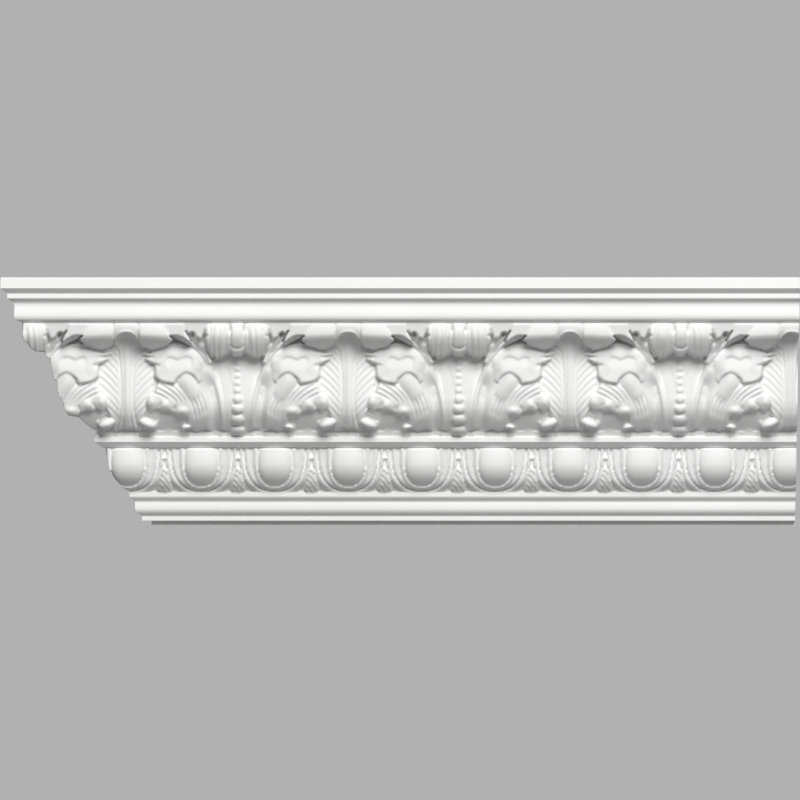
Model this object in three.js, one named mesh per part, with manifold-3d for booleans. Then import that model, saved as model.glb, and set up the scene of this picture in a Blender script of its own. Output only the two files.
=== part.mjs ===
// A length of ceiling cornice, cast in one piece: plain bands above and below a carved frieze
// of acanthus leaves and a row of eggs and darts. The wall is the plane y = 0, the face looks
// along -Y, X runs along the wall and +Z is up. The origin is the centre of the flat that lies
// on the wall. The left end is mitred for an outside corner, and the right end is cut square.
// Sizes are in millimetres.

import * as THREE from "three";
import { mergeVertices } from "three/addons/utils/BufferGeometryUtils.js";
import Module from "manifold-3d";

const wasm = await Module();
wasm.setup();

// Driving sizes
const HEIGHT = 186.75;
const PROJECTION = 118.9;
const WALL_LAND = 30;
const CEILING_LAND = 29.4;
const RUN_AT_WALL = 477.8;
const REPEAT = 166;
const EGGS_PER_REPEAT = 3;
const LEAF_AXIS = 67.4;
const BLOCK_BACK = 8;

// Worked out from them
const RIGHT_END = RUN_AT_WALL / 2;
const LEFT_END = -RUN_AT_WALL / 2;
const LEFT_TIP = LEFT_END - PROJECTION;
const BASE_Z = -WALL_LAND / 2;

// The profile and the carving are drawn for a cornice 186.75 high that stands out 118.9, with a
// leaf each 166, and the driving sizes stretch the drawing along its three directions.
const DRAWN = {
  projection: 118.9,
  half: 83,
  eggPitch: 166 / EGGS_PER_REPEAT,
  eggFoot: 26.25,
  eggHead: 58.9,
  friezeFoot: 70.9,
  friezeHead: 151.5,
  crownRise: 35.25,
};
const UP = HEIGHT / (DRAWN.friezeHead + DRAWN.crownRise);
const OUT = PROJECTION / DRAWN.projection;
const ALONG = REPEAT / (2 * DRAWN.half);

// A drawn distance from the wall and height, at x along the wall, as a point of the part.
function at(x, out, up) {
  return [x, -out * OUT, BASE_Z + up * UP];
}

// A step from 0 to 1 that starts and ends level.
function ease(t) {
  const c = Math.min(1, Math.max(0, t));
  return c * c * (3 - 2 * c);
}

// A smooth curve through [x, y] knots.
function through(knots) {
  const slope = knots.map((_, i) => {
    const low = knots[Math.max(0, i - 1)];
    const high = knots[Math.min(knots.length - 1, i + 1)];
    return (high[1] - low[1]) / (high[0] - low[0]);
  });
  return (x) => {
    let i = 0;
    while (i < knots.length - 2 && x > knots[i + 1][0]) i++;
    const [x0, y0] = knots[i];
    const [x1, y1] = knots[i + 1];
    const h = x1 - x0;
    const t = Math.min(1, Math.max(0, (x - x0) / h));
    const bend = t * t * (3 - 2 * t);
    const rise = t * (1 - t) * (1 - t) * h * slope[i] - t * t * (1 - t) * h * slope[i + 1];
    return y0 + (y1 - y0) * bend + rise;
  };
}

// Points along smooth runs. Each run starts where the one before it ends, at a corner.
function path(...runs) {
  const points = [];
  let start = null;
  for (const run of runs) {
    const knots = (start ? [start, ...run] : run).map(([a, b]) => new THREE.Vector2(a, b));
    const spans = knots.length - 1;
    const made = new THREE.SplineCurve(knots).getPoints(spans === 1 ? 1 : spans * 5);
    points.push(...(start ? made.slice(1) : made));
    start = run[run.length - 1];
  }
  return points;
}

// The distance from (a, b) to a line of points, and how far along it (0 to 1) the nearest is.
function nearest(a, b, points) {
  let gap = Infinity;
  let along = 0;
  points.slice(1).forEach((q, i) => {
    const p = points[i];
    const dx = q.x - p.x;
    const dy = q.y - p.y;
    const t = Math.min(1, Math.max(0, ((a - p.x) * dx + (b - p.y) * dy) / (dx * dx + dy * dy)));
    const d = Math.hypot(a - p.x - t * dx, b - p.y - t * dy);
    if (d < gap) {
      gap = d;
      along = (i + t) / (points.length - 1);
    }
  });
  return { gap, along };
}

// How far (a, b) is inside a closed outline, negative outside it.
function depthIn(a, b, points) {
  let inside = false;
  points.slice(1).forEach((q, i) => {
    const p = points[i];
    if (p.y > b !== q.y > b && a < ((q.x - p.x) * (b - p.y)) / (q.y - p.y) + p.x) inside = !inside;
  });
  const { gap } = nearest(a, b, points);
  return inside ? gap : -gap;
}

// A carved piece with an outline and a face, rounded down at its edge.
function sheet(outline, face, lip = 3, drop = 3) {
  return (a, b) => {
    const depth = depthIn(a, b, outline);
    if (depth <= 0) return -Infinity;
    const rest = 1 - Math.min(1, depth / lip);
    return face(a, b) - drop * (1 - Math.sqrt(1 - rest * rest));
  };
}

// A round ridge along a line, with a crest and a half-width that may change on the way.
function ridge(line, crest, halfWidth) {
  return (a, b) => {
    const { gap, along } = nearest(a, b, line);
    const half = halfWidth(along);
    if (gap >= half) return -Infinity;
    return crest(along, b) - half * 0.8 * (1 - Math.sqrt(1 - (gap / half) ** 2));
  };
}

// A round knob: half an ellipsoid standing on a level.
function knob(a0, b0, halfWidth, halfHeight, level, rise) {
  return (a, b) => {
    const r2 = ((a - a0) / halfWidth) ** 2 + ((b - b0) / halfHeight) ** 2;
    return r2 >= 1 ? -Infinity : level + rise * Math.sqrt(1 - r2);
  };
}

// The frieze's bell, as [height above its foot, distance from the wall].
const bell = through([
  [-4, 48], [0, 52], [5.6, 59], [9.4, 63.5], [16.9, 69.8], [24.4, 73.8], [39.4, 77], [54.4, 78],
  [61.9, 79.2], [67.1, 81.5], [71.6, 85.5], [76.1, 92.5], [80.6, 102.5], [84, 104],
]);

// One half of a leaf unit of the frieze: a runs from the middle of the leaf (0) to the row of
// beads (HALF), and b runs up from the frieze's foot. The other half is its mirror image.
function leafUnit() {
  const HALF = DRAWN.half;
  const TOP = 84;
  const FOOT = -2.5;
  const leafFace = through([
    [-4, 48], [0, 53], [9.4, 65.5], [17, 72], [24, 75.8], [40, 79], [54, 80.5], [62, 84],
    [68, 90], [74, 97], [80.6, 103],
  ]);
  const domeFace = through([[34, 83.5], [40, 86.5], [50, 89.5], [58, 91], [63, 90.5], [67, 87.5], [71, 84]]);
  const rollFace = through([
    [60, 84], [63, 87], [66, 91], [70, 97], [73.5, 101.8], [78, 104.3], [TOP, 104.3],
  ]);
  const curlFace = through([
    [54, 86], [57, 89.5], [60.4, 94], [69, 102.2], [76, 106.4], [80.6, 105.3], [TOP, 104],
  ]);

  const bellGround = (a, b) => bell(b) - 4 + 2.5 * ease((b - 22) / 20);
  const midrib = (a) => 1.8 * ease((6 - a) / 3);
  const centralLeaf = sheet(
    path(
      [[-4, TOP], [-4, FOOT]],
      [[9.5, FOOT]],
      [[15, 13], [21, 26], [24, 40], [22, 53], [10, 66]],
      [[9, TOP]],
      [[-4, TOP]],
    ),
    (a, b) => leafFace(b) + midrib(a) - 0.08 * a,
    3,
    2,
  );
  const flank = sheet(
    path(
      [[HALF + 4, TOP], [HALF + 4, FOOT]],
      [[66, FOOT]],
      [[66, 20], [63, 40], [54, 58], [46, 70]],
      [[44, TOP]],
      [[HALF + 4, TOP]],
    ),
    (a, b) => bell(b) - 0.5,
    3,
    1,
  );
  const fold = ridge(
    path([[66, FOOT], [67.8, 20], [66.2, 37], [62, 49], [57, 58], [50, 67], [42, 74]]),
    (t, b) => Math.min(bell(b) + 2 + 8 * ease((b - 38) / 24), 94),
    () => 4.5,
  );
  const scrollBase = sheet(
    path(
      [[44, FOOT], [40, 20], [24, 38], [22, 52], [26, 66]],
      [[48, 66], [62, 50], [66, 34], [67, FOOT]],
      [[44, FOOT]],
    ),
    (a, b) => bell(b) - 3 + 5 * ease((b - 26) / 16),
    2,
    1,
  );
  const dome = sheet(
    path(
      [[57, 39.5], [58.3, 48.5], [57, 56], [52.5, 62.5], [45.8, 67.5]],
      [[38.3, 69.8], [30.8, 69.4], [20, 64.5], [9.8, 66]],
      [[13, 60], [20.3, 52.5], [22.4, 45.5], [27, 39], [36, 36]],
      [[38, 40.5], [45.8, 44], [53.3, 36.5]],
      [[57, 39.5]],
    ),
    (a, b) => domeFace(b) - 0.01 * (a - 40) ** 2,
    4,
    4,
  );
  const pipe = ridge(
    path([[45.6, 43], [45.2, 38], [47.2, 31], [51.5, 22], [56, 12], [58.5, FOOT]]),
    (t, b) => bell(b) + 1 + 4.5 * ease(t / 0.25) * ease((1 - t) / 0.6),
    (t) => 7.4 - 3 * t,
  );
  const lowerLeaf = sheet(
    path(
      [[36, 38], [27, 39.2], [22.2, 34], [21.3, 27.3]],
      [[16.6, 21], [21, 14.8], [30, 14.6], [36.4, 11.6]],
      [[38, 6.5], [43.5, 6], [46.8, 16], [44, 28], [36, 38]],
    ),
    (a, b) => bell(b) + 2.6 + 0.12 * (36 - a),
    4,
    3.5,
  );
  const knuckles = [
    knob(22.2, 21.2, 6, 6, bell(21.2) + 1, 5.5),
    knob(42, 11.6, 5.4, 6.6, bell(11.6) + 2, 6),
    knob(44.6, 3.4, 4.6, 4.4, bell(3.4) + 0.5, 5),
    knob(16.6, 6.6, 7.2, 5, bell(6.6) + 3, 6),
  ];
  const strips = sheet(
    path(
      [[26, TOP], [34, 72.4]],
      [[44, 70], [48.6, 66.6]],
      [[47, 73.5]],
      [[52, 72], [56, 69.4]],
      [[57, TOP]],
      [[26, TOP]],
    ),
    (a, b) => 98.5 + 0.5 * (b - 70),
    3,
    3,
  );
  const roll = sheet(
    path(
      [[27.5, TOP], [34.6, 68.8]],
      [[27, 65.2], [19, 62.8], [12, 65.6], [9.2, 68.6]],
      [[9.6, TOP]],
      [[27.5, TOP]],
    ),
    (a, b) => rollFace(b) - 0.014 * (a - 20) ** 2,
    3,
    3,
  );
  const tongue = sheet(
    path([[-8, TOP], [-8, 74.6]], [[0, 74.6], [5.4, 72.4], [8.4, 65.4]], [[9.4, TOP]], [[-8, TOP]]),
    (a, b) => rollFace(b - 1) + 0.8 - 0.02 * a * a,
    2,
    2,
  );
  const curls = sheet(
    path(
      [[HALF + 8, TOP], [HALF + 8, 56.6]],
      [[79.2, 57.6], [77.6, 61]],
      [[74.3, 56.6], [69, 55.4], [63, 57.5], [60, 64.1]],
      [[55.8, 67], [60, 73]],
      [[60, TOP]],
      [[HALF + 8, TOP]],
    ),
    (a, b) => {
      const sideLobe = 0.02 * (a - 69.5) ** 2 * ease((79 - a) / 2);
      const middleLobe = 0.04 * (a - HALF) ** 2 * ease((a - 77) / 2);
      return curlFace(b) - sideLobe - middleLobe;
    },
    3,
    4,
  );
  const beadRow = ridge(
    path([[HALF, 57], [HALF, 30]], [[HALF, FOOT]]),
    (t, b) => bell(b) + 1.4 + 1.6 * ease((30 - b) / 30),
    (t) => 3 + 3.4 * t * t,
  );

  const pieces = [
    bellGround, centralLeaf, flank, fold, scrollBase, dome, pipe, lowerLeaf, ...knuckles,
    strips, roll, tongue, curls, beadRow,
  ];
  return (a, b) => Math.max(...pieces.map((piece) => piece(a, b)));
}

// Half an egg and half a dart: c runs out from the egg's middle, z up from the cornice's foot.
function eggUnit() {
  const EGG_HALF_WIDTH = 12.5;
  const EGG_SHOULDER = 48.75;
  const EGG_LOW = 30.4;
  const DART_AT = DRAWN.eggPitch / 2;
  const rim = through([[27, 27.6], [31.5, 31.5], [39, 36.5], [46.5, 40], [54, 42.5], [60, 44.5]]);
  const collarEdge = path(
    [[-5, 61], [-5, 27]],
    [[0, 27], [9, 29.2], [16.5, 36.8], [20.5, 48], [22.1, 61]],
    [[-5, 61]],
  );
  const collar = sheet(collarEdge, (c, z) => rim(z), 2.5, 2);
  const ground = (c, z) => rim(z) - 3.2;
  const egg = (c, z) => {
    const drop = Math.max(0, EGG_SHOULDER - z) / (EGG_SHOULDER - EGG_LOW);
    const r2 = (c / EGG_HALF_WIDTH) ** 2 + drop ** 2;
    return r2 >= 1 ? -Infinity : rim(z) - 2.6 + 7.4 * Math.sqrt(1 - r2);
  };
  const dart = ridge(
    path([[DART_AT, 44], [DART_AT, DRAWN.eggFoot]]),
    (t, z) => rim(z) - 0.4,
    (t) => 2 + 3.6 * t,
  );
  return (c, z) => Math.max(ground(c, z), collar(c, z), egg(c, z), dart(c, z));
}

// A closed solid from triangles, given as the corners of each in turn.
function solidFrom(corners) {
  const loose = new THREE.BufferGeometry();
  loose.setAttribute("position", new THREE.Float32BufferAttribute(corners, 3));
  const merged = mergeVertices(loose, 1e-4);
  return new wasm.Manifold(
    new wasm.Mesh({
      numProp: 3,
      vertProperties: merged.attributes.position.array,
      triVerts: new Uint32Array(merged.index.array),
    }),
  );
}

// A solid from a three.js geometry.
function solidOf(geometry) {
  const bare = geometry.index ? geometry.toNonIndexed() : geometry;
  return solidFrom(Array.from(bare.attributes.position.array));
}

// A block whose front follows a carved surface: xs and ups are the places of its columns and
// drawn heights of its rows, and outOf(x, up) is the surface's drawn distance from the wall. Its
// back is flat, inside the plain run and parallel to the slanting back. Each cell is split along
// the diagonal that lies closer to the carved surface.
function carvedBlock(xs, ups, outOf) {
  const corners = [];
  const front = xs.map((x) => ups.map((up) => at(x, outOf(x, up), up)));
  const rear = (x, z) => {
    const slant = (z - BASE_Z - WALL_LAND) / (HEIGHT - WALL_LAND);
    return [x, -slant * (PROJECTION - CEILING_LAND) - BLOCK_BACK, z];
  };
  const triangle = (p, q, r) => corners.push(...p, ...q, ...r);
  for (let i = 0; i + 1 < xs.length; i++) {
    for (let j = 0; j + 1 < ups.length; j++) {
      const [low, high] = [front[i][j], front[i][j + 1]];
      const [lowNext, highNext] = [front[i + 1][j], front[i + 1][j + 1]];
      const middle = -OUT * outOf((xs[i] + xs[i + 1]) / 2, (ups[j] + ups[j + 1]) / 2);
      const rising = Math.abs((low[1] + highNext[1]) / 2 - middle);
      const falling = Math.abs((high[1] + lowNext[1]) / 2 - middle);
      if (rising < falling) {
        triangle(low, lowNext, highNext);
        triangle(low, highNext, high);
      } else {
        triangle(low, lowNext, high);
        triangle(lowNext, highNext, high);
      }
    }
  }
  const rim = [
    ...front.map((column) => column[0]),
    ...front[front.length - 1].slice(1),
    ...front.map((column) => column[ups.length - 1]).reverse().slice(1),
    ...front[0].slice(1, -1).reverse(),
  ];
  const [first, last] = [front[0][0], front[xs.length - 1][ups.length - 1]];
  const middle = rear((first[0] + last[0]) / 2, (first[2] + last[2]) / 2);
  rim.forEach((p, i) => {
    const q = rim[(i + 1) % rim.length];
    const pBack = rear(p[0], p[2]);
    const qBack = rear(q[0], q[2]);
    triangle(q, p, pBack);
    triangle(q, pBack, qBack);
    triangle(qBack, pBack, middle);
  });
  return solidFrom(corners);
}

// The places of columns from before the left tip to past the right end, repeated and mirrored
// about each axis from drawn stations that run from 0 to half a pitch.
function columns(stations, pitch) {
  const first = Math.floor((LEFT_TIP - LEAF_AXIS) / pitch) - 1;
  const last = Math.ceil((RIGHT_END - LEAF_AXIS) / pitch) + 1;
  const all = new Set();
  for (let n = first; n <= last; n++) {
    for (const station of stations) {
      all.add((LEAF_AXIS + n * pitch + station * ALONG).toFixed(3));
      all.add((LEAF_AXIS + n * pitch - station * ALONG).toFixed(3));
    }
  }
  const kept = [...all].map(Number).sort((p, q) => p - q);
  const spare = pitch / 6;
  return kept.filter((x) => x > LEFT_TIP - spare && x < RIGHT_END + spare);
}

// The drawn distance from the nearest axis of a mirrored and repeated pattern.
function fromAxis(x, pitch) {
  const turns = (x - LEAF_AXIS) / pitch;
  return (Math.abs(turns - Math.round(turns)) * pitch) / ALONG;
}

// The plain bands with the ground behind the carving, as drawn [distance from the wall, height].
function plainSection() {
  const { projection, eggFoot, eggHead, friezeFoot, friezeHead, crownRise } = DRAWN;
  const above = (foot, points) => points.map(([out, rise]) => [out, foot + rise]);
  const bottom = [[0, 0], [12, 0], [15.4, 4.1], [15.75, 7.5], [16.5, 8.25], [20.25, 12]];
  const lowCyma = [[20.6, 12.75], [20.6, 18], [21.4, 19.5], [23.25, 20.4], [24.75, 22.5], [25.1, 25.5]];
  const behindEggs = [[24.4, eggFoot], [28, 37], [34, 50], [39, eggHead]];
  const middleFillet = [...above(eggHead, [[45, 0.35], [50.25, 4.85]]), [50.6, friezeFoot]];
  const behindFrieze = above(friezeFoot, [[46, 0.7], [56, 13.1], [67, 29.1], [71, 54.1], [76, 70.1]]);
  const highCyma = above(friezeHead, [
    [98, 0], [104.6, 2.25], [107.6, 3.7], [108.75, 5.25], [109.1, 7.5], [108.75, 13.5],
  ]);
  const crown = above(friezeHead, [
    [109.5, 16.5], [113.25, 19.1], [114, 19.9], [114, 23.25], [117.75, 26.25], [projection, 27],
  ]);
  const top = friezeHead + crownRise;
  const fascia = [[projection, top - 0.75], [projection - 0.4, top]];
  const back = [[projection - CEILING_LAND / OUT, top], [0, WALL_LAND / UP]];
  return [
    ...bottom, ...lowCyma, ...behindEggs, ...middleFillet, ...behindFrieze, ...highCyma, ...crown,
    ...fascia, ...back,
  ];
}

// The bands run along X from the mitre's tip to the square end.
function plainRun() {
  const corners = plainSection().map(([out, up]) => at(0, out, up));
  const shape = new THREE.Shape(corners.map(([, y, z]) => new THREE.Vector2(-y, z)));
  const run = new THREE.ExtrudeGeometry(shape, { depth: RIGHT_END - LEFT_TIP, bevelEnabled: false });
  run.applyMatrix4(
    new THREE.Matrix4().makeBasis(
      new THREE.Vector3(0, -1, 0),
      new THREE.Vector3(0, 0, 1),
      new THREE.Vector3(-1, 0, 0),
    ),
  );
  run.translate(RIGHT_END, 0, 0);
  return solidOf(run);
}

function friezeBlock() {
  const across = [
    0, 4, 8, 12, 16.5, 21, 25.5, 30, 34.5, 39.5, 45, 50, 54.5, 58.5, 62.5, 67, 72, 77, 80, DRAWN.half,
  ];
  const rise = [
    -2.5, 1.5, 6, 10.5, 15, 19.5, 24, 29.5, 35.5, 40, 44.5, 50, 56, 59, 63, 67, 70.5, 74.5, 79, 83,
  ];
  const surface = leafUnit();
  const head = through([[78, 110], [81.5, 105], [83, 103.5]]);
  const foot = through([[-2.5, 49], [-1, 51.5], [2, 60]]);
  const outOf = (x, up) => {
    const b = up - DRAWN.friezeFoot;
    const out = surface(fromAxis(x, REPEAT), b);
    return Math.min(out, b > 78 ? head(b) : Infinity, b < 1 ? foot(b) : Infinity);
  };
  const ups = rise.map((b) => b + DRAWN.friezeFoot);
  return carvedBlock(columns(across, REPEAT), ups, outOf);
}

function eggBlock() {
  const pitch = REPEAT / EGGS_PER_REPEAT;
  const across = [0, 5, 9.2, 12.4, 16.5, 21.5, DRAWN.eggPitch / 2];
  const ups = [25, 26.8, 29, 31.4, 35, 40, 46, 53, 58.2, 60];
  const surface = eggUnit();
  const head = through([[58.2, 46], [60, 43]]);
  const foot = through([[25, 23.5], [26.8, 26.4]]);
  const outOf = (x, up) => {
    const out = surface(fromAxis(x, pitch), up);
    return Math.min(out, up > 58.2 ? head(up) : Infinity, up < 26.8 ? foot(up) : Infinity);
  };
  return carvedBlock(columns(across, pitch), ups, outOf);
}

// What the saw takes: everything left of a plane at 45 degrees, and everything past the right end.
function sawCuts() {
  const reach = 4 * HEIGHT;
  const mitre = new THREE.BoxGeometry(reach, reach, reach);
  mitre.translate(-reach / 2, 0, 0);
  mitre.rotateZ(-Math.PI / 4);
  mitre.translate(LEFT_END, 0, 0);
  const square = new THREE.BoxGeometry(reach, reach, reach);
  square.translate(RIGHT_END + reach / 2, 0, 0);
  return [solidOf(mitre), solidOf(square)];
}

// The cast as one closed mesh.
function castGeometry() {
  let cast = plainRun().add(friezeBlock()).add(eggBlock());
  for (const taken of sawCuts()) cast = cast.subtract(taken);
  const { vertProperties, triVerts } = cast.getMesh();
  const geometry = new THREE.BufferGeometry();
  geometry.setAttribute("position", new THREE.BufferAttribute(vertProperties, 3));
  geometry.setIndex(new THREE.BufferAttribute(triVerts, 1));
  geometry.computeVertexNormals();
  return geometry;
}

const paintedWhite = new THREE.MeshStandardMaterial({ color: 0xf2f1ee, roughness: 0.6, metalness: 0 });
const cornice = new THREE.Mesh(castGeometry(), paintedWhite);
cornice.name = "cornice_moulding";

const part = new THREE.Group();
part.add(cornice);

export default part;
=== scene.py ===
"""The looks of a length of cast ceiling cornice: its carved frieze of acanthus leaves, its eggs and
darts, its plain mouldings, its white paint, and the studio round it. Drawn sizes are millimetres."""

import math

import bmesh
import bpy
import numpy as np
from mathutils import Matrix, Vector
from mathutils.geometry import tessellate_polygon


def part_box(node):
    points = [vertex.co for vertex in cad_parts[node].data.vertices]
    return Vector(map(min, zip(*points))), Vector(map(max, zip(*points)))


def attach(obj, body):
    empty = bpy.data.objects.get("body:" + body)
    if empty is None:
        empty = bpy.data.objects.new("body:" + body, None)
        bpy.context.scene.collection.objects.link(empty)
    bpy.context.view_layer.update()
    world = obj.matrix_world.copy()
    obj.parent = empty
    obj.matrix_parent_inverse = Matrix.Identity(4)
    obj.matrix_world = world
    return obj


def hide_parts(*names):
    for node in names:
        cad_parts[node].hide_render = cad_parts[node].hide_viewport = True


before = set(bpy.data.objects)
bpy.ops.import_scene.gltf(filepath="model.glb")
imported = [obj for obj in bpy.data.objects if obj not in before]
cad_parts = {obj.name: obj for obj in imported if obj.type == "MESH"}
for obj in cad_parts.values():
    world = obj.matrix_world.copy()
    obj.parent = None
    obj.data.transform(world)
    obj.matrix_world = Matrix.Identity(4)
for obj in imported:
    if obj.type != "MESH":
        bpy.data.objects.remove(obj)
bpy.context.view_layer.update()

NODE = "cornice_moulding"
LOW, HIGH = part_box(NODE)

# The sizes that the ornament is drawn at, in millimetres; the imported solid's box scales them.
DRAWN_HEIGHT = 186.75
DRAWN_OUT = 118.9
REPEAT = 166.0
HALF = REPEAT / 2
EGGS_PER_REPEAT = 3
EGG_PITCH = REPEAT / EGGS_PER_REPEAT
FRIEZE_FOOT = 70.9
LEAF_AXIS = 67.4
WALL_LAND = 30.0
CEILING_LAND = 29.4

# Metres for each drawn millimetre, up, out from the wall and along the length
UP = (HIGH.z - LOW.z) / DRAWN_HEIGHT
OUT = -LOW.y / DRAWN_OUT
ALONG = 0.001

RIGHT_END = HIGH.x / ALONG
LEFT_TIP = LOW.x / ALONG
MITRE_FOOT = LEFT_TIP + DRAWN_OUT

# Cells of the carved grids
FRIEZE_COLUMNS = 200
FRIEZE_ROWS = 100
EGG_COLUMNS = 60
EGG_ROWS = 36

# The third value of a point where its line turns a corner
CORNER = True

# The power of the curve round an egg and its collar, where 2 would be an ellipse
FULLNESS = 2.4

# How near two vertices are, in metres, when they are one
MERGE = 1e-6


# Curves and maps

def smooth(x):
    """A step from 0 to 1 that starts and ends level."""
    x = np.clip(x, 0, 1)
    return x * x * (3 - 2 * x)


def spline(points, closed=False, per=8):
    """A smooth line through the points. A third value marks a point where the line turns a corner."""
    knots = [np.array(p[:2], float) for p in points]
    corner = [len(p) > 2 for p in points]
    count = len(knots)
    line = []
    for i in range(count if closed else count - 1):
        j = (i + 1) % count
        here, there = knots[i], knots[j]
        starts = corner[i] or (not closed and i == 0)
        ends = corner[j] or (not closed and i == count - 2)
        before = 2 * here - there if starts else knots[i - 1]
        after = 2 * there - here if ends else knots[(i + 2) % count]
        for t in np.arange(per) / per:
            line.append(0.5 * (2 * here + (there - before) * t
                               + (2 * before - 5 * here + 4 * there - after) * t ** 2
                               + (3 * here - before - 3 * there + after) * t ** 3))
    if not closed:
        line.append(knots[-1])
    return np.array(line)


def nearest(A, B, line, closed=False):
    """The distance from each place to a line, and how far along the line (0 to 1) the nearest point is."""
    gap = np.full(A.shape, 1e9)
    along = np.zeros(A.shape)
    starts = line if closed else line[:-1]
    ends = np.roll(line, -1, 0) if closed else line[1:]
    lengths = np.linalg.norm(ends - starts, axis=1)
    run = 0.0
    for (x, y), (x1, y1), length in zip(starts, ends, lengths):
        if length < 1e-9:
            continue
        dx, dy = x1 - x, y1 - y
        t = np.clip(((A - x) * dx + (B - y) * dy) / length ** 2, 0, 1)
        d = np.hypot(A - x - t * dx, B - y - t * dy)
        closer = d < gap
        gap = np.where(closer, d, gap)
        along = np.where(closer, (run + t * length) / lengths.sum(), along)
        run += length
    return gap, along


def depth_in(A, B, points):
    """How far each place is inside a closed outline, negative outside it."""
    line = spline(points, closed=True)
    gap, _ = nearest(A, B, line, closed=True)
    odd = np.zeros(A.shape, bool)
    for (x1, y1), (x2, y2) in zip(line, np.roll(line, -1, 0)):
        if y1 != y2:
            odd ^= ((y1 > B) != (y2 > B)) & (A < (x2 - x1) * (B - y1) / (y2 - y1) + x1)
    return np.where(odd, gap, -gap)


def through(knots):
    """A smooth curve through (x, y) knots, as a function."""
    xs, ys = np.array(knots, float).T
    slopes = np.gradient(ys, xs)

    def curve(x):
        i = np.clip(np.searchsorted(xs, x) - 1, 0, len(xs) - 2)
        h = xs[i + 1] - xs[i]
        t = np.clip((x - xs[i]) / h, 0, 1)
        bend = t * t * (3 - 2 * t)
        lean = t * (1 - t) ** 2 * h * slopes[i] - t * t * (1 - t) * h * slopes[i + 1]
        return ys[i] + (ys[i + 1] - ys[i]) * bend + lean

    return curve


# Chisel work: each call takes the surface so far, P, as its distance from the wall at each place.

def lay(P, depth, face, lip=1.2, drop=2.0):
    """Lays a sheet over what is there, its edge rounded down by drop over a width of lip."""
    rest = 1 - np.clip(depth / lip, 0, 1)
    sheet = face - drop * (1 - np.sqrt(1 - rest ** 2))
    return np.where(depth > 0, np.maximum(P, sheet), P)


def fade(t, start, end):
    """1 along a line, falling to 0 over the first and last shares of its length."""
    return smooth(t / max(start, 1e-6)) * smooth((1 - t) / max(end, 1e-6))


def groove(P, A, B, points, width, depth, ends=(0.15, 0.15)):
    """A V-shaped cut along a line."""
    gap, t = nearest(A, B, spline(points))
    return P - depth * fade(t, *ends) * np.clip(1 - gap / width, 0, 1) ** 1.2


def vein(P, A, B, points, width, height, ends=(0.15, 0.15)):
    """A rounded ridge along a line."""
    gap, t = nearest(A, B, spline(points))
    return P + height * fade(t, *ends) * np.sqrt(np.clip(1 - (gap / width) ** 2, 0, 1))


def ridge(P, gap, half_width, crest, fall):
    """Lays a ridge over what is there, which falls away from its crest as a parabola."""
    return np.where(gap < half_width, np.maximum(P, crest - fall * (gap / half_width) ** 2), P)


def knob(P, A, B, centre, half_width, half_height, base, rise, turn=0.0):
    """Half an ellipsoid standing on the level base."""
    across, up = A - centre[0], B - centre[1]
    c, s = math.cos(turn), math.sin(turn)
    r2 = ((across * c + up * s) / half_width) ** 2 + ((up * c - across * s) / half_height) ** 2
    dome = base + rise * np.sqrt(np.clip(1 - r2, 0, 1))
    return np.where(r2 < 1, np.maximum(P, dome), P)


def swell(S, A, B, centre, half_width, half_height, rise):
    """A soft swelling of the surface round a place."""
    r2 = ((A - centre[0]) / half_width) ** 2 + ((B - centre[1]) / half_height) ** 2
    return S + rise * np.exp(-2 * r2)


# The frieze. A runs from the middle of a leaf (0) to the row of beads (HALF), and B runs up from
# the frieze's foot; the other half of the unit is the mirror image. The rows start at FOOT, tucked
# behind the fillet, and end at HEAD, and outlines that run on past the head go to TOP.

TOP = 84.0
HEAD = 82.6
FOOT = -4.0

# The leaf's own level from foot to head: a bell, turned in below and flared above
BELL = through([(-4, 48), (0, 53), (5.6, 60.2), (9.4, 64.6), (13.1, 68.2), (16.9, 71), (22, 73.2),
                (30, 74.6), (39.4, 75.6), (48, 76.6), (54.4, 77.6), (61.9, 79.4), (67.1, 81.6),
                (71.6, 85.5), (76.1, 92.5), (80.6, 102.5), (84, 104)])


def central_leaf(P, A, B):
    """The upright leaf: a bundle of ribs up its middle and slanting veins on each side."""
    face = through([(-4, 48), (0, 53.5), (5.6, 60.8), (9.4, 65), (13, 68.4), (17, 71), (22, 73),
                    (30, 74.6), (40, 75.8), (50, 77), (57, 78.2), (62, 80.2), (66, 82.8), (70, 86),
                    (74, 90), (80.6, 99)])
    outline = [(-3, TOP, CORNER), (-3, FOOT, CORNER), (10.5, FOOT, CORNER), (11.2, 4), (13.2, 12),
               (17, 20), (22, 27), (26, 36), (26, 48), (24, 58), (18, 64), (10.4, 68, CORNER),
               (9, TOP, CORNER)]
    S = face(B) - 0.045 * np.clip(A - 4, 0, 30)
    veins = 10
    spacing = 5.6
    for k in range(veins):
        foot = 1.0 + spacing * k
        line = [(3.6, foot), (5.4, foot + 7), (9.4, foot + 13), (14.6, foot + 18.4), (20.6, foot + 23.6)]
        S = groove(S, A, B, line, 1.6, 0.95, ends=(0.45, 0.03))
    bundle_edge = through([(-4, 9.4), (0, 8.6), (8, 6.6), (16, 5.0), (25, 4.2), (45, 4.6), (56, 5.6),
                           (66, 7.2), (84, 8)])
    edge = bundle_edge(B)
    S = S + 1.2 * smooth((edge - A) / 1.6) * smooth((72 - B) / 16)
    for share in (0.5, 1.0):
        S = S - 1.7 * smooth((70 - B) / 12) * np.clip(1 - np.abs(A - share * edge) / 1.4, 0, 1)
    return lay(P, depth_in(A, B, outline), S, lip=2.0, drop=1.5)


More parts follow.
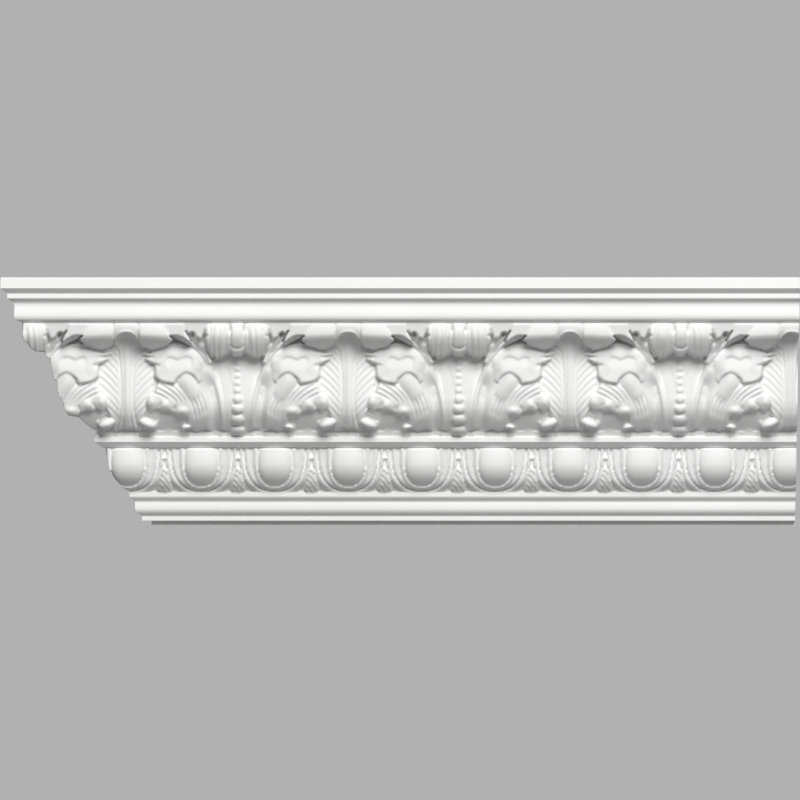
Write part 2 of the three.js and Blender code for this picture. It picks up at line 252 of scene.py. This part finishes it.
def flank(P, A, B):
    """The leaf's outer flank beside the beads, with fine upright grooves."""
    outline = [(90, TOP, CORNER), (90, FOOT, CORNER), (64, FOOT, CORNER), (63, 20), (61, 38), (54, 54),
               (46, 68), (44, TOP, CORNER)]
    S = BELL(B) - 0.4 - 3.6 * smooth((74 - A) / 10) * smooth((54 - B) / 16)
    grooves = 5
    spacing = 2.3
    for k in range(grooves):
        shift = spacing * k
        line = [(70.6 + 0.9 * shift, FOOT), (70.6 + shift, 10), (70.8 + shift, 22), (69.6 + shift, 34),
                (66.8 + shift, 46), (62.6 + shift, 57), (58.6 + shift, 64)]
        S = groove(S, A, B, line, 1.2, 1.0, ends=(0.02, 0.2))
    return lay(P, depth_in(A, B, outline), S, lip=1.5, drop=1.0)


def scroll_base(P, A, B):
    """The bed of the scroll leaf: the broad flute beside the pipe and the ground under the dome."""
    outline = [(71, FOOT, CORNER), (71, 12), (69.6, 24), (66.6, 37), (60, 52), (50, 62), (38, 67),
               (24, 64), (21, 50), (25, 40), (37, 30), (44, 16), (46, FOOT, CORNER)]
    S = BELL(B) + 0.6 + 3.6 * smooth((B - 30) / 18)
    flute = [(68.4, FOOT), (68.8, 8), (68.2, 18), (66.4, 28), (63.2, 38), (59.0, 47)]
    flute_depth = 7.8
    flute_reach = 9.0
    gap, t = nearest(A, B, spline(flute))
    S = S - flute_depth * (1 - smooth(gap / flute_reach)) * smooth((1 - t) / 0.5)
    return lay(P, depth_in(A, B, outline), S, lip=1.2, drop=1.0)


def folds(P, A, B):
    """The turned edges of the scroll leaf, which rise from the foot and sweep over to the head."""
    half_width = 1.9
    outer = [(71.4, FOOT), (71.8, 8), (71.4, 16), (70.2, 25), (67.8, 34.5), (64.0, 45), (59.4, 54.6),
             (54.4, 61.5), (48.6, 66.6), (41, 70.4), (35, 73.4)]
    gap, _ = nearest(A, B, spline(outer))
    rise = 0.4 + 7.0 * smooth((B - 36) / 24) * smooth((78 - B) / 8)
    P = ridge(P, gap, half_width, BELL(B) + rise, 2.2)
    inner = [(62.6, 53), (59.4, 60), (55.4, 65.6), (50.4, 70.2), (45.4, 74.6)]
    gap, t = nearest(A, B, spline(inner))
    return ridge(P, gap, half_width, 84.5 + 8.5 * t, 2.6)


def dome(P, A, B):
    """The scroll leaf's head: a low dome with pointed and rounded lobes, and a face sunk in its rim."""
    outline = [(57, 39.5, CORNER), (58.3, 48.5), (57, 56), (52.5, 62.0), (45.8, 66.3), (38.3, 68.0),
               (30.8, 67.6), (24, 65.2), (18.8, 62.6, CORNER), (14.3, 64.0), (8.8, 65.8, CORNER),
               (12.4, 62.2), (18.4, 60.0, CORNER), (14.4, 60.2), (9.9, 59.6, CORNER), (14, 57.6),
               (19.6, 56.2, CORNER), (16.6, 56.6), (13.2, 55.6, CORNER), (17, 52.6), (24.2, 50.2, CORNER),
               (21.2, 46.4), (21.6, 41.6), (26.0, 38.0), (36.2, 36.3, CORNER), (37.5, 39.4), (40.5, 42.3),
               (45.0, 44.4), (50.3, 42.2), (53.8, 37, CORNER)]
    face = through([(34, 82.6), (38, 83.2), (44, 84), (50, 84.8), (56, 85.5), (60, 85.8), (62, 85.4),
                    (64.5, 83.8), (68, 80)])
    S = face(B) - 0.004 * (A - 42) ** 2 - 0.002 * np.clip(34 - A, 0, 40) ** 2
    S = S - 3.4 * smooth((A - 49) / 8) * smooth((54 - B) / 14)
    sunk = [(56, 38, CORNER), (55.5, 46, CORNER), (50.8, 48.4), (50.2, 55.2), (46.5, 57.8), (42.3, 57.6),
            (38.3, 55.8, CORNER), (34.5, 57.6), (30.2, 57), (28.8, 53), (30, 48.2, CORNER), (26.6, 44),
            (27, 40), (38, 34, CORNER)]
    S = S - (0.8 * smooth((B - 46) / 10) + 0.3) * smooth(depth_in(A, B, sunk) / 2.2)
    S = groove(S, A, B, [(53.5, 54), (57.2, 48), (57.4, 42), (56.4, 38)], 1.4, 0.6, ends=(0.3, 0.1))
    return lay(P, depth_in(A, B, outline), S, lip=2.4, drop=2.6)


def pipe(P, A, B):
    """The round pipe that comes out from under the dome and sinks into the bed, veined down its side."""
    line = [(44.6, 50), (44.6, 40), (46.6, 33), (51.6, 23.5), (56.4, 12), (58.6, FOOT)]
    gap, t = nearest(A, B, spline(line))
    half_width = 9.0 - 4.6 * smooth((t - 0.4) / 0.6)
    P = ridge(P, gap, half_width, BELL(B) + 0.4 + 5.4 * smooth((B - 18) / 22), 5.0)
    veins = [[(54.4, 31), (58.2, 21), (59.8, 11)], [(51.8, 29), (55.6, 19.5), (57.2, 10)],
             [(49.0, 27.5), (52.8, 18.5), (54.4, 9)], [(46.4, 26), (50.0, 17.5), (51.6, 8)]]
    for points in veins:
        P = groove(P, A, B, points, 1.3, 1.9, ends=(0.25, 0.3))
    return P


def lower_leaf(P, A, B):
    """The small leaf under the dome: a fan of veins that ends in knuckles, and two tips at the foot."""
    outline = [(37, 37, CORNER), (30, 38.2), (24.6, 38.6, CORNER), (22.4, 34.6), (20.6, 29.0, CORNER),
               (16.8, 27.4), (14.6, 23.0), (15.4, 18.2), (19.0, 15.8), (23.0, 17.2, CORNER), (26.6, 15.6),
               (30.6, 15.8), (34.2, 14.6, CORNER), (38, 12.0), (43, 11.0), (47.4, 13.2), (49.2, 18),
               (47.6, 25), (43, 31.6), (39, 36)]
    S = BELL(B) + 0.2 + 3.4 * smooth((B - 18) / 16)
    veins = [[(34.5, 38), (41, 32), (46, 25), (48.5, 18)],
             [(29, 38.6), (37.4, 31.8), (42.8, 25), (45.6, 18)],
             [(24, 36.6), (32.4, 31.4), (38.8, 25.6), (41.8, 20)],
             [(22.4, 33), (29.4, 29.2), (35.4, 24.8), (38, 20)],
             [(21.4, 29.2), (27, 26.8), (31.8, 23.6)]]
    for points in veins:
        S = groove(S, A, B, points, 1.3, 1.4, ends=(0.04, 0.25))
    between_knuckles = ([(35.0, 12), (35.8, 17.5), (37.4, 21)], [(23.0, 14), (24.2, 19.6), (27, 23.6)])
    for points in between_knuckles:
        S = groove(S, A, B, points, 1.6, 2.6, ends=(0.02, 0.4))
    knuckles = [((18.6, 22.0), 5.0, 6.0, 3.0),
                ((28.6, 20.2), 6.0, 4.6, 2.6),
                ((41.8, 15.6), 6.4, 4.6, 2.6)]
    for centre, half_width, half_height, rise in knuckles:
        S = swell(S, A, B, centre, half_width, half_height, rise)
    P = lay(P, depth_in(A, B, outline), S, lip=1.3, drop=2.8)
    P = knob(P, A, B, (44.4, 4.0), 4.0, 3.2, BELL(4.0) - 1.0, 4.4)
    P = knob(P, A, B, (15.4, 6.8), 7.0, 3.9, BELL(6.8) + 0.2, 6.4, turn=-0.35)
    return groove(P, A, B, [(23.4, 8.6), (18.6, 11.2), (13.6, 13.4)], 1.6, 3.0, ends=(0.2, 0.1))


def head_strips(P, A, B):
    """The leaf tips that hang between the shoulder roll and the curls, and what shows behind them."""
    behind = [(50, TOP, CORNER), (52, 68), (56, 61), (61, 57.6, CORNER), (65, TOP, CORNER)]
    P = lay(P, depth_in(A, B, behind), 85 + 0.75 * (B - 58), lip=1.5, drop=1.5)
    far = [(41, TOP, CORNER), (43, 79), (46.3, 74.2, CORNER), (50.3, 74.8), (52.5, 71.5),
           (56.4, 69.4, CORNER), (61.5, TOP, CORNER)]
    P = lay(P, depth_in(A, B, far), np.minimum(99.5 + 0.35 * (B - 70), 104), lip=1.4, drop=2.0)
    near = [(26, TOP, CORNER), (31, 72.2, CORNER), (39, 72.2), (43.5, 70), (48.6, 66.6, CORNER),
            (46.6, 71.6), (44.6, 76), (43.2, TOP, CORNER)]
    return lay(P, depth_in(A, B, near), np.minimum(101 + 0.3 * (B - 70), 104.2), lip=1.4, drop=2.0)


def shoulder_roll(P, A, B):
    """The leaf's shoulder, which rolls out under the upper mouldings and turns under."""
    outline = [(28.6, TOP, CORNER), (29.4, 79), (35.0, 69.0, CORNER), (31.2, 66.4), (27, 64.6),
               (21.8, 62.6), (16.5, 62.8), (12, 65.0), (9.2, 68.4, CORNER), (9.6, TOP, CORNER)]
    face = through([(60, 87), (63, 90.4), (65, 93), (67, 96.2), (69, 99.6), (71, 102.2), (73, 103.8),
                    (75, 104.3), (TOP, 104.5)])
    S = face(B + 0.05 * (A - 20)) - 0.006 * (A - 19) ** 2
    return lay(P, depth_in(A, B, outline), S, lip=1.6, drop=1.6)


def tongue(P, A, B):
    """The middle tip of the leaf, an awning with an arched rim over a hollow throat."""
    throat = [(-9, 78, CORNER), (-9, 60, CORNER), (0, 60), (6, 61.5), (9, 65.6, CORNER),
              (9.2, 78, CORNER)]
    hollow = through([(58, 76.6), (62, 78.6), (66, 81.6), (70, 85.4), (74, 89.6), (78, 94)])
    P = lay(P, depth_in(A, B, throat), hollow(B) + 0.04 * A ** 2, lip=1.0, drop=1.0)
    awning = [(-9, TOP, CORNER), (-9, 74.2, CORNER), (0, 74.4), (3.6, 73.4), (6, 71.2), (7.4, 68),
              (8.4, 65.2, CORNER), (9.2, 70), (9.4, TOP, CORNER)]
    face = through([(64, 90), (68, 95.5), (72, 100.5), (75, 103.2), (79, 104.8), (TOP, 104.8)])
    P = lay(P, depth_in(A, B, awning), face(B) - 0.012 * A ** 2, lip=1.6, drop=1.8)
    rim = [(-4, 75.2), (0, 75.4), (4.4, 74.2), (7.4, 70.6), (8.8, 65.6)]
    return vein(P, A, B, rim, 1.3, 0.8, ends=(0, 0.1))


def curls(P, A, B):
    """The curled tips at the joint of two leaves: a creased side lobe that ends in a whorl, and a middle
    lobe with a curved crease."""
    face = through([(54, 86.4), (57, 90.4), (60.4, 94.6), (63, 97.6), (65.6, 100.4), (68, 102.6),
                    (70, 104.2), (72, 105.4), (75, 106.2), (80.6, 105.4), (TOP, 104)])
    side = [(77.6, TOP, CORNER), (78.2, 69.4), (77.4, 60.6), (75.6, 57.8), (73.6, 58.0, CORNER),
            (71.8, 55.8), (69.4, 56.8, CORNER), (67.4, 55.2), (65.0, 57.4, CORNER), (63, 57.2),
            (61.4, 60.4, CORNER), (60.0, 64.6), (59.2, 70), (59.6, TOP, CORNER)]
    S = face(B) - 0.018 * (A - 69.5) ** 2 - 0.4
    creases = ((75.4, -0.6), (73.0, 0.6), (69.0, 0.4), (65.6, -0.8), (62.4, 0.4))
    for at, bow in creases:
        S = groove(S, A, B, [(at + 1.2, 83), (at + bow, 71), (at - 0.4, 57)], 1.3, 1.5, ends=(0.3, 0.05))
    P = lay(P, depth_in(A, B, side), S, lip=1.5, drop=2.6)
    whorl = [(61.6, 72.6), (58.4, 72.0), (57.2, 68.4), (59.2, 65.6)]
    P = groove(P, A, B, whorl, 1.5, 3.6, ends=(0.1, 0.1))
    middle = [(90, TOP, CORNER), (77.9, TOP, CORNER), (78.3, 72), (77.6, 63), (78.8, 58.4), (83, 57.0),
              (90, 57.0, CORNER)]
    S = face(B) + 0.3 - 0.03 * (A - HALF) ** 2
    S = groove(S, A, B, [(77.6, 66.4), (79.4, 63.8), (82, 62.8), (85, 62.8)], 1.2, 1.5, ends=(0.1, 0))
    return lay(P, depth_in(A, B, middle), S, lip=1.5, drop=2.8)


def beads(P, A, B):
    """The row of beads down the joint of two leaves, which grow towards the foot."""
    edges = (55.8, 50.2, 45.0, 39.8, 34.4, 28.6, 21.2, 13.7, 5.2, -2.4)
    half_widths = (2.5, 2.5, 2.5, 2.6, 2.8, 3.5, 4.3, 5.2, 5.7)
    sunk = 1.6
    leaning = 0.7
    overlap = 0.52
    bulge = 1.05
    for top, low, half_width in zip(edges, edges[1:], half_widths):
        centre = (top + low) / 2
        base = BELL(centre) - sunk
        lean = (BELL(top) - BELL(low)) / (top - low) * leaning
        r2 = ((A - HALF) / half_width) ** 2 + ((B - centre) / ((top - low) * overlap)) ** 2
        bead = base + lean * (B - centre) + half_width * bulge * np.sqrt(np.clip(1 - r2, 0, 1))
        P = np.where(r2 < 1, np.maximum(P, bead), P)
    return P


def carve_frieze(A, B):
    """The whole half unit, from the ground up, trimmed at its foot and its head."""
    P = BELL(B) - 4.6 + 2.2 * smooth((B - 20) / 16)
    P = P + 2.0 * smooth((3 - B) / 3)
    for work in (central_leaf, flank, scroll_base, folds, pipe, dome, lower_leaf, tongue, head_strips,
                 shoulder_roll, curls, beads):
        P = work(P, A, B)

    # The foot is cut back to the fillet along a scalloped edge, but not at the beads
    cut_height = 1.8
    cut_back = through([(FOOT, 50.2), (-1.5, 50.4), (0.2, 50.8), (1.0, 54), (cut_height, 60.5)])
    scallop_pitch = 11.1
    scallop = 1.3 + 0.7 * np.sin(A * 2 * math.pi / scallop_pitch)
    beads_side = 76
    trimmed = np.where(A > beads_side, P, cut_back(B - scallop))
    P = np.where(B < cut_height + scallop, np.minimum(P, trimmed), P)

    # The head turns in under the crown
    turn_height = 79
    turned_in = through([(turn_height, 107), (80.4, 105.6), (81.4, 104.2), (HEAD, 103.4)])
    return np.where(B > turn_height, np.minimum(P, turned_in(B)), P)


# The egg-and-dart band. C runs from the middle of an egg, and Z up from the cornice's foot.

def cup(C, Z, half_width, shoulder, low):
    """1 on a cup's edge and less inside it: upright above the shoulder, and full and round below it."""
    fall = np.maximum(0, shoulder - Z) / (shoulder - low)
    return ((C / half_width) ** FULLNESS + fall ** FULLNESS) ** (1 / FULLNESS)


def carve_eggs(C, Z, turn):
    """Eggs in their collars, with wings that sweep down from the darts. Turn is -1 left of an egg's middle
    and 1 right of it."""
    C = np.abs(C)
    rim = through([(26, 26.6), (28, 28.4), (30.5, 31.6), (34, 34.8), (39, 37.6), (46.5, 40.6), (54, 42.7),
                   (60, 44.2)])
    level = rim(Z)
    P = level - 3.2
    wing = [(24.4, 61, CORNER), (24.2, 52), (22.4, 42), (18.2, 34.4), (12, 28.8), (6, 26.4, CORNER),
            (13, 25.8), (18.6, 29.0), (22.6, 34.5), (24.8, 42), (26.2, 50), (26.4, 61, CORNER)]
    P = lay(P, depth_in(C, Z, wing), level - 0.6, lip=1.0, drop=1.6)
    collar_half_width = 22.2
    collar_shoulder = 54
    collar = (1 - cup(C, Z, collar_half_width, collar_shoulder, 27.0)) * collar_half_width
    P = lay(P, collar, level - 0.4 - 1.1 * smooth(collar / 4.2), lip=0.9, drop=1.8)
    bead_half_width = 15.8
    egg_half_width = 12.6
    egg_shoulder = 48.75
    bead = (1 - cup(C, Z, bead_half_width, egg_shoulder, 27.8)) * bead_half_width
    P = lay(P, bead, level + 0.5, lip=1.5, drop=1.5)
    r = cup(C, Z, egg_half_width, egg_shoulder, 30.4)
    P = np.where(r < 1.04, np.minimum(P, level - 1.2), P)
    front = through([(28, 33), (32, 37.2), (36, 41), (41, 44.2), (46, 46), (50, 46.6), (60, 46.8)])
    egg = front(Z) + 6.0 * (np.sqrt(np.clip(1 - r ** 2, 0, 1)) - 1)
    P = np.where(r < 1, np.maximum(P, egg), P)
    return dart(P, C, Z, turn, level)


def dart(P, C, Z, turn, level):
    """The dart between two eggs: a stem with an arrow-shaped leaf, hatched on the slant."""
    at = EGG_PITCH / 2
    across = (C - at) * turn
    side = np.abs(across)
    rib = 1.2
    uprights = np.clip(1 - np.abs(side - 2.3) / rib, 0, 1)
    crosspiece = np.clip(1 - np.abs(Z - 51.4) / rib, 0, 1) * (side < 2.6)
    stem = uprights + crosspiece
    stem_foot = 45
    P = np.where(Z > stem_foot, np.maximum(P, level - 3.2 + 2.8 * smooth(stem * 1.6)), P)
    head = [(-3, 44.6, CORNER), (0, 44.4), (1.7, 42.6), (2.9, 38), (4.3, 33), (6.2, 27.6, CORNER),
            (3, 26.2), (-3, 26.2, CORNER)]
    S = level + 1.0 - 0.04 * across ** 2
    hatch_pitch = 3.4
    S = S - 1.1 * smooth(np.sin((across * 0.86 + Z * 0.70) * 2 * math.pi / hatch_pitch) * 1.2 + 0.2)
    return lay(P, depth_in(side, Z, head), S, lip=0.9, drop=2.4)


# The plain mouldings, as (distance from the wall, height above the foot), corners marked.

BOTTOM = [(8.6, 0.0, CORNER), (8.6, 3.9, CORNER), (15.4, 4.0, CORNER), (15.7, 7.6, CORNER),
          (16.6, 8.3, CORNER), (18.2, 9.4), (19.6, 10.8), (20.5, 12.6), (20.8, 15.4),
          (20.7, 18.0, CORNER), (21.6, 19.6), (23.2, 20.6), (24.7, 22.3, CORNER), (25.1, 25.6)]
MIDDLE = [(43.0, 59.4), (45.0, 59.6, CORNER), (50.2, 63.7, CORNER), (50.5, FRIEZE_FOOT + FOOT)]
CROWN = [(103.2, 153.4, CORNER), (104.4, 153.7, CORNER), (106.2, 154.4), (107.8, 155.4), (108.9, 157.4),
         (109.1, 160.0), (108.9, 163.0), (108.8, 165.4), (109.3, 167.6), (110.4, 169.2, CORNER),
         (113.2, 170.5, CORNER), (114.0, 171.4, CORNER), (114.1, 174.8, CORNER), (117.8, 177.8, CORNER),
         (118.9, 178.6, CORNER), (118.9, 186.1, CORNER), (118.3, 186.75, CORNER)]


def eased(points, radius=0.45):
    """A moulding's line with its corners worn round."""
    line = spline(points, per=5)
    sharp = [np.array(p[:2]) for p in points[1:-1] if len(p) > 2]
    out = [line[0]]
    for before, here, after in zip(line, line[1:], line[2:]):
        if any(np.allclose(here, s) for s in sharp):
            back, on = before - here, after - here
            r = min(radius, 0.4 * np.linalg.norm(back), 0.4 * np.linalg.norm(on))
            start = here + back / np.linalg.norm(back) * r
            end = here + on / np.linalg.norm(on) * r
            out += [start, 0.25 * start + 0.5 * here + 0.25 * end, end]
        else:
            out.append(here)
    out.append(line[-1])
    return out


# The casting as one closed mesh.

def place(x, out, up):
    """A drawn point in the row's frame, in metres."""
    return (x * ALONG, -out * OUT, LOW.z + up * UP)


def row_columns(spacing, line_at):
    """Where a row's columns stand: evenly, with those past the mitre gathered on it.
    line_at(x) is the row's distance from the wall."""
    step = 0.1
    scan = np.arange(MITRE_FOOT, LEFT_TIP - 1, -step)
    spare = scan - (MITRE_FOOT - line_at(scan))
    i = int(np.argmax(spare <= 0))
    share = spare[i - 1] / (spare[i - 1] - spare[i])
    end = scan[i - 1] + share * (scan[i] - scan[i - 1])
    even = np.linspace(LEFT_TIP, RIGHT_END, round((RIGHT_END - LEFT_TIP) / spacing) + 1)
    return np.maximum(even, end)


def from_axis(x, axis, pitch):
    """How far each place is from the nearest axis of a repeated pattern, negative to its left."""
    turns = (x - axis) / pitch
    return (turns - np.round(turns)) * pitch


def frieze_rows():
    """The frieze's rows: (columns, distances from the wall, height)."""
    stations = np.linspace(0, HALF, FRIEZE_COLUMNS // 2 + 1)
    heights = np.linspace(FOOT, HEAD, FRIEZE_ROWS + 1)
    half = carve_frieze(*np.meshgrid(stations, heights))
    half[0] = MIDDLE[-1][0]
    rows = []
    for up, line in zip(heights, half):
        def line_at(x, line=line):
            return np.interp(np.abs(from_axis(x, LEAF_AXIS, REPEAT)), stations, line)
        xs = row_columns(REPEAT / FRIEZE_COLUMNS, line_at)
        rows.append((xs, line_at(xs), up + FRIEZE_FOOT))
    return rows


def egg_rows():
    """The egg-and-dart band's rows, in the same form."""
    stations = np.linspace(-EGG_PITCH / 2, EGG_PITCH / 2, EGG_COLUMNS + 1)
    heights = np.linspace(BOTTOM[-1][1], MIDDLE[0][1], EGG_ROWS + 1)
    C, Z = np.meshgrid(stations, heights)
    unit = carve_eggs(C, Z, np.where(C < 0, -1, 1))
    unit[0] = BOTTOM[-1][0]
    unit[-1] = MIDDLE[0][0]
    rows = []
    for up, line in zip(heights, unit):
        def line_at(x, line=line):
            return np.interp(from_axis(x, LEAF_AXIS, EGG_PITCH), stations, line)
        xs = row_columns(EGG_PITCH / EGG_COLUMNS, line_at)
        rows.append((xs, line_at(xs), up))
    return rows


def plain_rows(points):
    """A plain moulding's rows, each with only its two ends."""
    return [(np.array([MITRE_FOOT - out, RIGHT_END]), np.array([out, out]), up) for out, up in points]


def bridge(low, high):
    """Faces between two rows of vertex numbers, where one of them may have only its two ends."""
    if len(low) == len(high):
        return [(low[i], low[i + 1], high[i + 1], high[i]) for i in range(len(low) - 1)]
    if len(low) > len(high):
        return [face[::-1] for face in bridge(high, low)]
    middle = len(high) // 2
    left = [(low[0], high[i + 1], high[i]) for i in range(middle)]
    right = [(low[-1], high[i + 1], high[i]) for i in range(middle, len(high) - 1)]
    return left + [(low[0], low[-1], high[middle])] + right


def cast_mesh():
    """The front as rows of vertices, foot to head, then the top, the slanting back and the wall flat."""
    back = [(DRAWN_OUT - CEILING_LAND, DRAWN_HEIGHT), (0.0, WALL_LAND), (0.0, 0.0)]
    sections = [plain_rows(eased(BOTTOM)[:-1]), egg_rows(), plain_rows(eased(MIDDLE)[1:-1]), frieze_rows(),
                plain_rows(eased(CROWN)), plain_rows(back)]
    vertices = []
    faces = []
    carved = []
    ends = []
    previous = None
    for section in sections:
        for xs, outs, up in section:
            start = len(vertices)
            vertices.extend(place(x, out, up) for x, out in zip(xs, outs))
            row = list(range(start, start + len(xs)))
            if previous is not None:
                strip = bridge(previous, row)
                faces.extend(strip)
                carved.extend([len(previous) == len(row) > 2] * len(strip))
            previous = row
            ends.append((row[0], row[-1]))
    faces.extend(bridge(previous, list(ends[0])))
    for cap in ([right for _, right in ends], [left for left, _ in reversed(ends)]):
        corners = [Vector(vertices[k]) for k in cap]
        faces.extend(tuple(cap[k] for k in triangle) for triangle in tessellate_polygon([corners]))
    carved.extend([False] * (len(faces) - len(carved)))

    mesh = bpy.data.meshes.new("cornice_casting")
    mesh.from_pydata(vertices, [], faces)
    mesh.polygons.foreach_set("use_smooth", carved)
    bm = bmesh.new()
    bm.from_mesh(mesh)
    bmesh.ops.remove_doubles(bm, verts=bm.verts[:], dist=MERGE)
    bmesh.ops.recalc_face_normals(bm, faces=bm.faces[:])
    bm.to_mesh(mesh)
    bm.free()
    return mesh


# The material

PAINT_DARK = (0.845, 0.843, 0.838, 1)
PAINT_LIGHT = (0.885, 0.884, 0.881, 1)
PAINT_IOR = 1.45
PAINT_SPECULAR = 0.35
ROUGHNESS_LEAST = 0.50
ROUGHNESS_MOST = 0.62

# The part of a noise's range that most of its values are in
NOISE_LOW = 0.3
NOISE_HIGH = 0.7

# The noises' scales, which are the patches in a metre, and the bumps' heights in metres and strengths
TINT_SCALE = 9
ROUGHNESS_SCALE = 60
GRAIN_SCALE = 1400
GRAIN_HEIGHT = 0.0002
GRAIN_STRENGTH = 0.12
WAVE_SCALE = 120
WAVE_HEIGHT = 0.0006
WAVE_STRENGTH = 0.15


def paint():
    """White primer on a smooth casting: matt, with a faint grain and slight unevenness."""
    material = bpy.data.materials.new("white_paint")
    material.use_nodes = True
    nodes = material.node_tree.nodes
    links = material.node_tree.links
    shader = nodes["Principled BSDF"]
    shader.inputs["IOR"].default_value = PAINT_IOR
    shader.inputs["Specular IOR Level"].default_value = PAINT_SPECULAR
    coordinates = nodes.new("ShaderNodeTexCoord")

    def noise(scale, detail):
        node = nodes.new("ShaderNodeTexNoise")
        node.inputs["Scale"].default_value = scale
        node.inputs["Detail"].default_value = detail
        links.new(coordinates.outputs["Object"], node.inputs["Vector"])
        return node.outputs["Fac"]

    def bump(heights, strength, distance):
        node = nodes.new("ShaderNodeBump")
        node.inputs["Strength"].default_value = strength
        node.inputs["Distance"].default_value = distance
        links.new(heights, node.inputs["Height"])
        return node

    tint = nodes.new("ShaderNodeValToRGB")
    dark, light = tint.color_ramp.elements
    dark.position = NOISE_LOW
    dark.color = PAINT_DARK
    light.position = NOISE_HIGH
    light.color = PAINT_LIGHT
    links.new(noise(TINT_SCALE, 3), tint.inputs["Fac"])
    links.new(tint.outputs["Color"], shader.inputs["Base Color"])

    roughness = nodes.new("ShaderNodeMapRange")
    roughness.inputs["From Min"].default_value = NOISE_LOW
    roughness.inputs["From Max"].default_value = NOISE_HIGH
    roughness.inputs["To Min"].default_value = ROUGHNESS_LEAST
    roughness.inputs["To Max"].default_value = ROUGHNESS_MOST
    links.new(noise(ROUGHNESS_SCALE, 2), roughness.inputs["Value"])
    links.new(roughness.outputs["Result"], shader.inputs["Roughness"])

    grain = bump(noise(GRAIN_SCALE, 3), GRAIN_STRENGTH, GRAIN_HEIGHT)
    waves = bump(noise(WAVE_SCALE, 2), WAVE_STRENGTH, WAVE_HEIGHT)
    links.new(grain.outputs["Normal"], waves.inputs["Normal"])
    links.new(waves.outputs["Normal"], shader.inputs["Normal"])
    return material


def dress():
    """Puts the carved casting in the place of its solid."""
    mesh = cast_mesh()
    mesh.materials.append(paint())
    casting = bpy.data.objects.new("cornice_casting", mesh)
    bpy.context.collection.objects.link(casting)
    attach(casting, "root")
    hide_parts(NODE)


# The studio

# The photograph: metres for each pixel, and the pixels of the moulding's foot and of its mount's middle
PIXEL = 0.75 * 0.001
IMAGE_SIDE = 800
PHOTO_FOOT_V = 527
PHOTO_WALL_U = 479.5

# The camera's lens and sensor in millimetres, and the share of the projection where the picture is true
LENS = 500.0
SENSOR = 36.0
TRUE_DEPTH = 0.65
CLIP_END = 100

# The key light's place from the middle of the moulding, its side and its power
KEY_FROM = Vector((0.45, -3.1, 1.9))
KEY_SIDE = 1.5
KEY_POWER = 141

# The room's greys, as (share of the way from straight down to straight up, grey)
BACKGROUND = 0.4397
ROOM_LOW = (0.40, 0.02)
ROOM_LEVEL = ((0.47, BACKGROUND), (0.53, BACKGROUND))
ROOM_HIGH = (0.62, 0.12)

FLOOR_SIDE = 2.4
FLOOR_DROP = 0.9
FLOOR_GREY = 0.45
FLOOR_ROUGHNESS = 0.9


def camera():
    """Square on and from far off, as the photograph is."""
    data = bpy.data.cameras.new("camera")
    data.lens = LENS
    data.sensor_width = SENSOR
    side = IMAGE_SIDE * PIXEL
    distance = side * LENS / SENSOR
    data.clip_end = CLIP_END
    view = bpy.data.objects.new("camera", data)
    view.location = ((IMAGE_SIDE / 2 - PHOTO_WALL_U) * PIXEL, LOW.y * TRUE_DEPTH - distance,
                     LOW.z + (PHOTO_FOOT_V - IMAGE_SIDE / 2) * PIXEL)
    view.rotation_euler = (math.pi / 2, 0, 0)
    bpy.context.collection.objects.link(view)
    bpy.context.scene.camera = view


def area_light(name, place_at, target, size, power):
    data = bpy.data.lights.new(name, "AREA")
    data.size = size
    data.energy = power
    light = bpy.data.objects.new(name, data)
    light.location = place_at
    light.rotation_euler = (Vector(target) - Vector(place_at)).to_track_quat("-Z", "Y").to_euler()
    bpy.context.collection.objects.link(light)


def studio():
    """A room that is grey level with the viewer and darker above and below, a soft key light from above
    the viewer, and a pale floor well below."""
    middle = Vector(((LOW.x + HIGH.x) / 2, LOW.y / 2, (LOW.z + HIGH.z) / 2))
    area_light("key", middle + KEY_FROM, middle, KEY_SIDE, KEY_POWER)

    world = bpy.data.worlds.new("room")
    world.use_nodes = True
    nodes = world.node_tree.nodes
    links = world.node_tree.links
    directions = nodes.new("ShaderNodeTexCoord")
    split = nodes.new("ShaderNodeSeparateXYZ")
    links.new(directions.outputs["Generated"], split.inputs["Vector"])
    way_up = nodes.new("ShaderNodeMapRange")
    way_up.inputs["From Min"].default_value = -1
    way_up.inputs["From Max"].default_value = 1
    links.new(split.outputs["Z"], way_up.inputs["Value"])
    ramp = nodes.new("ShaderNodeValToRGB")
    links.new(way_up.outputs["Result"], ramp.inputs["Fac"])

    def shade(stop, position, grey):
        stop.position = position
        stop.color = (grey, grey, grey, 1)

    stops = ramp.color_ramp.elements
    shade(stops[0], *ROOM_LOW)
    shade(stops[1], *ROOM_HIGH)
    for position, grey in ROOM_LEVEL:
        shade(stops.new(position), position, grey)
    links.new(ramp.outputs["Color"], nodes["Background"].inputs["Color"])
    bpy.context.scene.world = world

    bpy.ops.mesh.primitive_plane_add(size=FLOOR_SIDE, location=(middle.x, 0, LOW.z - FLOOR_DROP))
    floor = bpy.context.object
    floor.name = "floor"
    material = bpy.data.materials.new("pale_floor")
    material.use_nodes = True
    shader = material.node_tree.nodes["Principled BSDF"]
    shader.inputs["Base Color"].default_value = (FLOOR_GREY, FLOOR_GREY, FLOOR_GREY, 1)
    shader.inputs["Roughness"].default_value = FLOOR_ROUGHNESS
    floor.data.materials.append(material)

    bpy.context.scene.view_settings.view_transform = "Standard"


camera()
dress()
studio()
